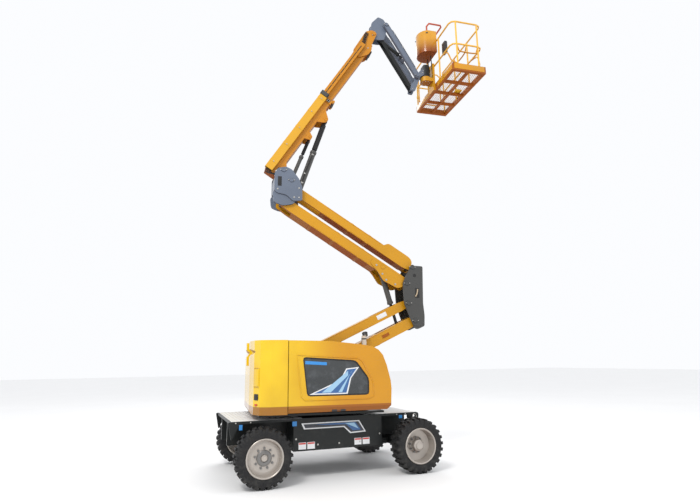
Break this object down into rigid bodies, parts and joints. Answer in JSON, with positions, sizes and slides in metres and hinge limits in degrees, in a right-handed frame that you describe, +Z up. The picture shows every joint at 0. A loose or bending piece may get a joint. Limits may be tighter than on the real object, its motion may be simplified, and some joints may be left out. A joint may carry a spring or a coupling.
{
  "type": "articulating boom lift",
  "caption": "Self-propelled work lift with a slewing turret, folding risers, a telescopic boom and a jib that carry a railed work platform.",
  "frame": {"origin": "on the ground, midway between the two axles", "axes": "+Z up; +X towards the driven axle, the end over which the boom reaches; -Y is the side whose hood and window face the viewer"},
  "size_m": [4.9242, 2.4189, 8.8324],
  "materials": {
    "orange": "gloss paint",
    "grey": "satin paint",
    "dark": "satin paint",
    "rubber": "matt",
    "silver": "satin paint",
    "steel": "bright",
    "cover": "moulded",
    "pane": "smoked",
    "bluegrey": "satin paint",
    "cast": "gloss paint",
    "engine": "matt",
    "tanks": "matt"
  },
  "bodies": {
    "chassis": {"chassis_frame": "dark", "steer_axle": "dark", "drive_axle": "dark", "slew_ring": "grey"},
    "steer_near": {"steer_knuckle_near": "dark"},
    "steer_far": {"steer_knuckle_far": "dark"},
    "steer_wheel_near": {"rim_steer_near": "silver", "tyre_steer_near": "rubber"},
    "steer_wheel_far": {"rim_steer_far": "silver", "tyre_steer_far": "rubber"},
    "drive_wheel_near": {"rim_drive_near": "silver", "tyre_drive_near": "rubber"},
    "drive_wheel_far": {"rim_drive_far": "silver", "tyre_drive_far": "rubber"},
    "turret": {"turntable_deck": "dark", "turret_tower": "grey", "counterweight": "cast", "engine_block": "engine", "tank_block": "tanks", "exhaust_pipe": "steel"},
    "near_hood": {"near_hood": "cover", "near_window": "pane"},
    "far_hood": {"far_hood": "cover", "far_window": "pane"},
    "lower_main": {"lower_riser_main": "orange"},
    "lower_tie": {"lower_riser_tie": "orange"},
    "upright": {"riser_upright": "grey"},
    "upper_main": {"upper_riser_main": "orange"},
    "upper_tie": {"upper_riser_tie": "orange"},
    "knuckle": {"upper_knuckle": "grey"},
    "tower_barrel": {"tower_cylinder_barrel": "grey"},
    "tower_rod": {"tower_cylinder_rod": "steel"},
    "boom": {"boom_base": "orange", "cable_trough": "orange"},
    "fly": {"boom_fly": "orange", "boom_head": "orange", "cable_carrier": "orange"},
    "lift_barrel": {"lift_cylinder_barrel": "grey"},
    "lift_rod": {"lift_cylinder_rod": "steel"},
    "level_barrel": {"level_cylinder_barrel": "grey"},
    "level_rod": {"level_cylinder_rod": "steel"},
    "jib_knuckle": {"jib_knuckle": "bluegrey"},
    "jib_arm": {"jib_arm": "bluegrey"},
    "jib_link": {"jib_link": "dark"},
    "jib_barrel": {"jib_cylinder_barrel": "dark"},
    "jib_rod": {"jib_cylinder_rod": "steel"},
    "jib_end": {"jib_end": "bluegrey", "rotator": "dark"},
    "platform": {"platform_yoke": "orange", "platform_floor": "orange", "platform_rails": "orange", "control_console": "cover"},
    "gate": {"platform_gate": "orange"}
  },
  "joints": [
    {"name": "steer_near", "type": "hinge", "parent": "chassis", "child": "steer_near", "pos_m": [-1.25, -0.8, 0], "axis": [0, 0, 1], "range_deg": [-30, 30]},
    {"name": "steer_far", "type": "hinge", "parent": "chassis", "child": "steer_far", "pos_m": [-1.25, 0.8, 0], "axis": [0, 0, 1], "range_deg": [-30, 30]},
    {"name": "steer_wheel_near", "type": "hinge", "parent": "steer_near", "child": "steer_wheel_near", "pos_m": [-1.25, -1.01, 0.42], "axis": [0, 1, 0], "continuous": true},
    {"name": "drive_wheel_near", "type": "hinge", "parent": "chassis", "child": "drive_wheel_near", "pos_m": [1.25, -1.01, 0.42], "axis": [0, 1, 0], "continuous": true},
    {"name": "steer_wheel_far", "type": "hinge", "parent": "steer_far", "child": "steer_wheel_far", "pos_m": [-1.25, 1.01, 0.42], "axis": [0, 1, 0], "continuous": true},
    {"name": "drive_wheel_far", "type": "hinge", "parent": "chassis", "child": "drive_wheel_far", "pos_m": [1.25, 1.01, 0.42], "axis": [0, 1, 0], "continuous": true},
    {"name": "turret_swing", "type": "hinge", "parent": "chassis", "child": "turret", "pos_m": [0, 0, 0.93], "axis": [0, 0, 1], "range_deg": [-177.5, 177.5]},
    {"name": "near_hood_lid", "type": "hinge", "parent": "turret", "child": "near_hood", "pos_m": [-0.03484, -0.33147, 2], "axis": [-0.9945, 0.1045, 0], "range_deg": [0, 60]},
    {"name": "far_hood_lid", "type": "hinge", "parent": "turret", "child": "far_hood", "pos_m": [0.03484, 0.33147, 2], "axis": [0.9945, -0.1045, 0], "range_deg": [0, 60]},
    {"name": "tower_lift", "type": "hinge", "parent": "turret", "child": "lower_main", "pos_m": [-0.66136, 0.06951, 1.347], "axis": [-0.1045, -0.9945, 0], "range_deg": [-29, 39]},
    {"name": "lower_tie_turn", "type": "hinge", "parent": "turret", "child": "lower_tie", "pos_m": [-0.7807, 0.08205, 1.667], "axis": [-0.1045, -0.9945, 0], "range_deg": [-29, 39]},
    {"name": "upright_turn", "type": "hinge", "parent": "lower_main", "child": "upright", "pos_m": [1.67056, -0.17558, 2.47042], "axis": [-0.1045, -0.9945, 0], "range_deg": [-39, 29]},
    {"name": "upper_main_turn", "type": "hinge", "parent": "upright", "child": "upper_main", "pos_m": [1.53133, -0.16095, 3.16042], "axis": [0.1045, 0.9945, 0], "range_deg": [-31.4, 42.2]},
    {"name": "upper_tie_turn", "type": "hinge", "parent": "upright", "child": "upper_tie", "pos_m": [1.65067, -0.17349, 3.47042], "axis": [0.1045, 0.9945, 0], "range_deg": [-31.4, 42.2]},
    {"name": "knuckle_turn", "type": "hinge", "parent": "upper_main", "child": "knuckle", "pos_m": [-0.78803, 0.08282, 4.6177], "axis": [0.1045, 0.9945, 0], "range_deg": [-42.2, 31.4]},
    {"name": "tower_barrel_turn", "type": "hinge", "parent": "upper_main", "child": "tower_barrel", "pos_m": [1.08907, -0.11447, 3.46778], "axis": [0.1045, 0.9945, 0], "range_deg": [-31, 23]},
    {"name": "tower_rod_slide", "type": "slide", "parent": "tower_barrel", "child": "tower_rod", "axis": [0.2698, -0.0284, -0.9625], "range_m": [-0.255, 0.342]},
    {"name": "boom_lift", "type": "hinge", "parent": "knuckle", "child": "boom", "pos_m": [-0.78604, 0.08262, 5.1907], "axis": [-0.1045, -0.9945, 0], "range_deg": [-57, 18]},
    {"name": "boom_telescope", "type": "slide", "parent": "boom", "child": "fly", "axis": [0.5417, -0.0569, 0.8387], "range_m": [-0.95, 0.15]},
    {"name": "lift_barrel_turn", "type": "hinge", "parent": "knuckle", "child": "lift_barrel", "pos_m": [-0.51752, 0.05439, 4.7307], "axis": [-0.1045, -0.9945, 0], "range_deg": [-49.5, 15.8]},
    {"name": "lift_rod_slide", "type": "slide", "parent": "lift_barrel", "child": "lift_rod", "axis": [0.3213, -0.0338, 0.9464], "range_m": [-0.462, 0.147]},
    {"name": "level_barrel_turn", "type": "hinge", "parent": "knuckle", "child": "level_barrel", "pos_m": [-0.64183, 0.06746, 5.0057], "axis": [-0.1045, -0.9945, 0], "range_deg": [-54, 17.2]},
    {"name": "level_rod_slide", "type": "slide", "parent": "level_barrel", "child": "level_rod", "axis": [0.3606, -0.0379, 0.932], "range_m": [-0.216, 0.069]},
    {"name": "jib_level", "type": "hinge", "parent": "fly", "child": "jib_knuckle", "pos_m": [1.04385, -0.10971, 8.4004], "axis": [-0.1045, -0.9945, 0], "range_deg": [-18, 57]},
    {"name": "jib_lift", "type": "hinge", "parent": "jib_knuckle", "child": "jib_arm", "pos_m": [1.31536, -0.13825, 8.6324], "axis": [-0.1045, -0.9945, 0], "range_deg": [-6, 113]},
    {"name": "jib_link_turn", "type": "hinge", "parent": "jib_knuckle", "child": "jib_link", "pos_m": [1.2159, -0.1278, 8.3624], "axis": [-0.1045, -0.9945, 0], "range_deg": [-6, 113]},
    {"name": "jib_barrel_turn", "type": "hinge", "parent": "jib_knuckle", "child": "jib_barrel", "pos_m": [1.2159, -0.1278, 8.3624], "axis": [-0.1045, -0.9945, 0], "range_deg": [-5.5, 98]},
    {"name": "jib_rod_slide", "type": "slide", "parent": "jib_barrel", "child": "jib_rod", "axis": [0.8141, -0.0856, -0.5744], "range_m": [-0.0225, 0.4135]},
    {"name": "jib_end_level", "type": "hinge", "parent": "jib_arm", "child": "jib_end", "pos_m": [1.96854, -0.2069, 7.56063], "axis": [-0.1045, -0.9945, 0], "range_deg": [-113, 6]},
    {"name": "platform_rotate", "type": "hinge", "parent": "jib_end", "child": "platform", "pos_m": [2.2122, -0.23251, 7.56063], "axis": [0, 0, 1], "range_deg": [-80, 80]},
    {"name": "gate_swing", "type": "hinge", "parent": "platform", "child": "gate", "pos_m": [2.5068, 0.62841, 7.56063], "axis": [0, 0, -1], "range_deg": [0, 85]}
  ],
  "couplings": [
    {"joint": "steer_far", "follows": "steer_near", "ratio": 1},
    {"joint": "lower_tie_turn", "follows": "tower_lift", "ratio": 1},
    {"joint": "upright_turn", "follows": "tower_lift", "ratio": -1},
    {"joint": "upper_main_turn", "follows": "tower_lift", "ratio": 1.08},
    {"joint": "upper_tie_turn", "follows": "tower_lift", "ratio": 1.08},
    {"joint": "knuckle_turn", "follows": "tower_lift", "ratio": -1.08},
    {"joint": "tower_barrel_turn", "follows": "tower_lift", "ratio": -0.775},
    {"joint": "tower_rod_slide", "follows": "tower_lift", "m_per_rad": 0.5},
    {"joint": "lift_barrel_turn", "follows": "boom_lift", "ratio": 0.865},
    {"joint": "lift_rod_slide", "follows": "boom_lift", "m_per_rad": 0.4625},
    {"joint": "level_barrel_turn", "follows": "boom_lift", "ratio": 0.9425},
    {"joint": "level_rod_slide", "follows": "boom_lift", "m_per_rad": 0.215},
    {"joint": "jib_level", "follows": "boom_lift", "ratio": -1},
    {"joint": "jib_link_turn", "follows": "jib_lift", "ratio": 1},
    {"joint": "jib_barrel_turn", "follows": "jib_lift", "ratio": 0.86},
    {"joint": "jib_rod_slide", "follows": "jib_lift", "m_per_rad": 0.209},
    {"joint": "jib_end_level", "follows": "jib_lift", "ratio": -1}
  ]
}
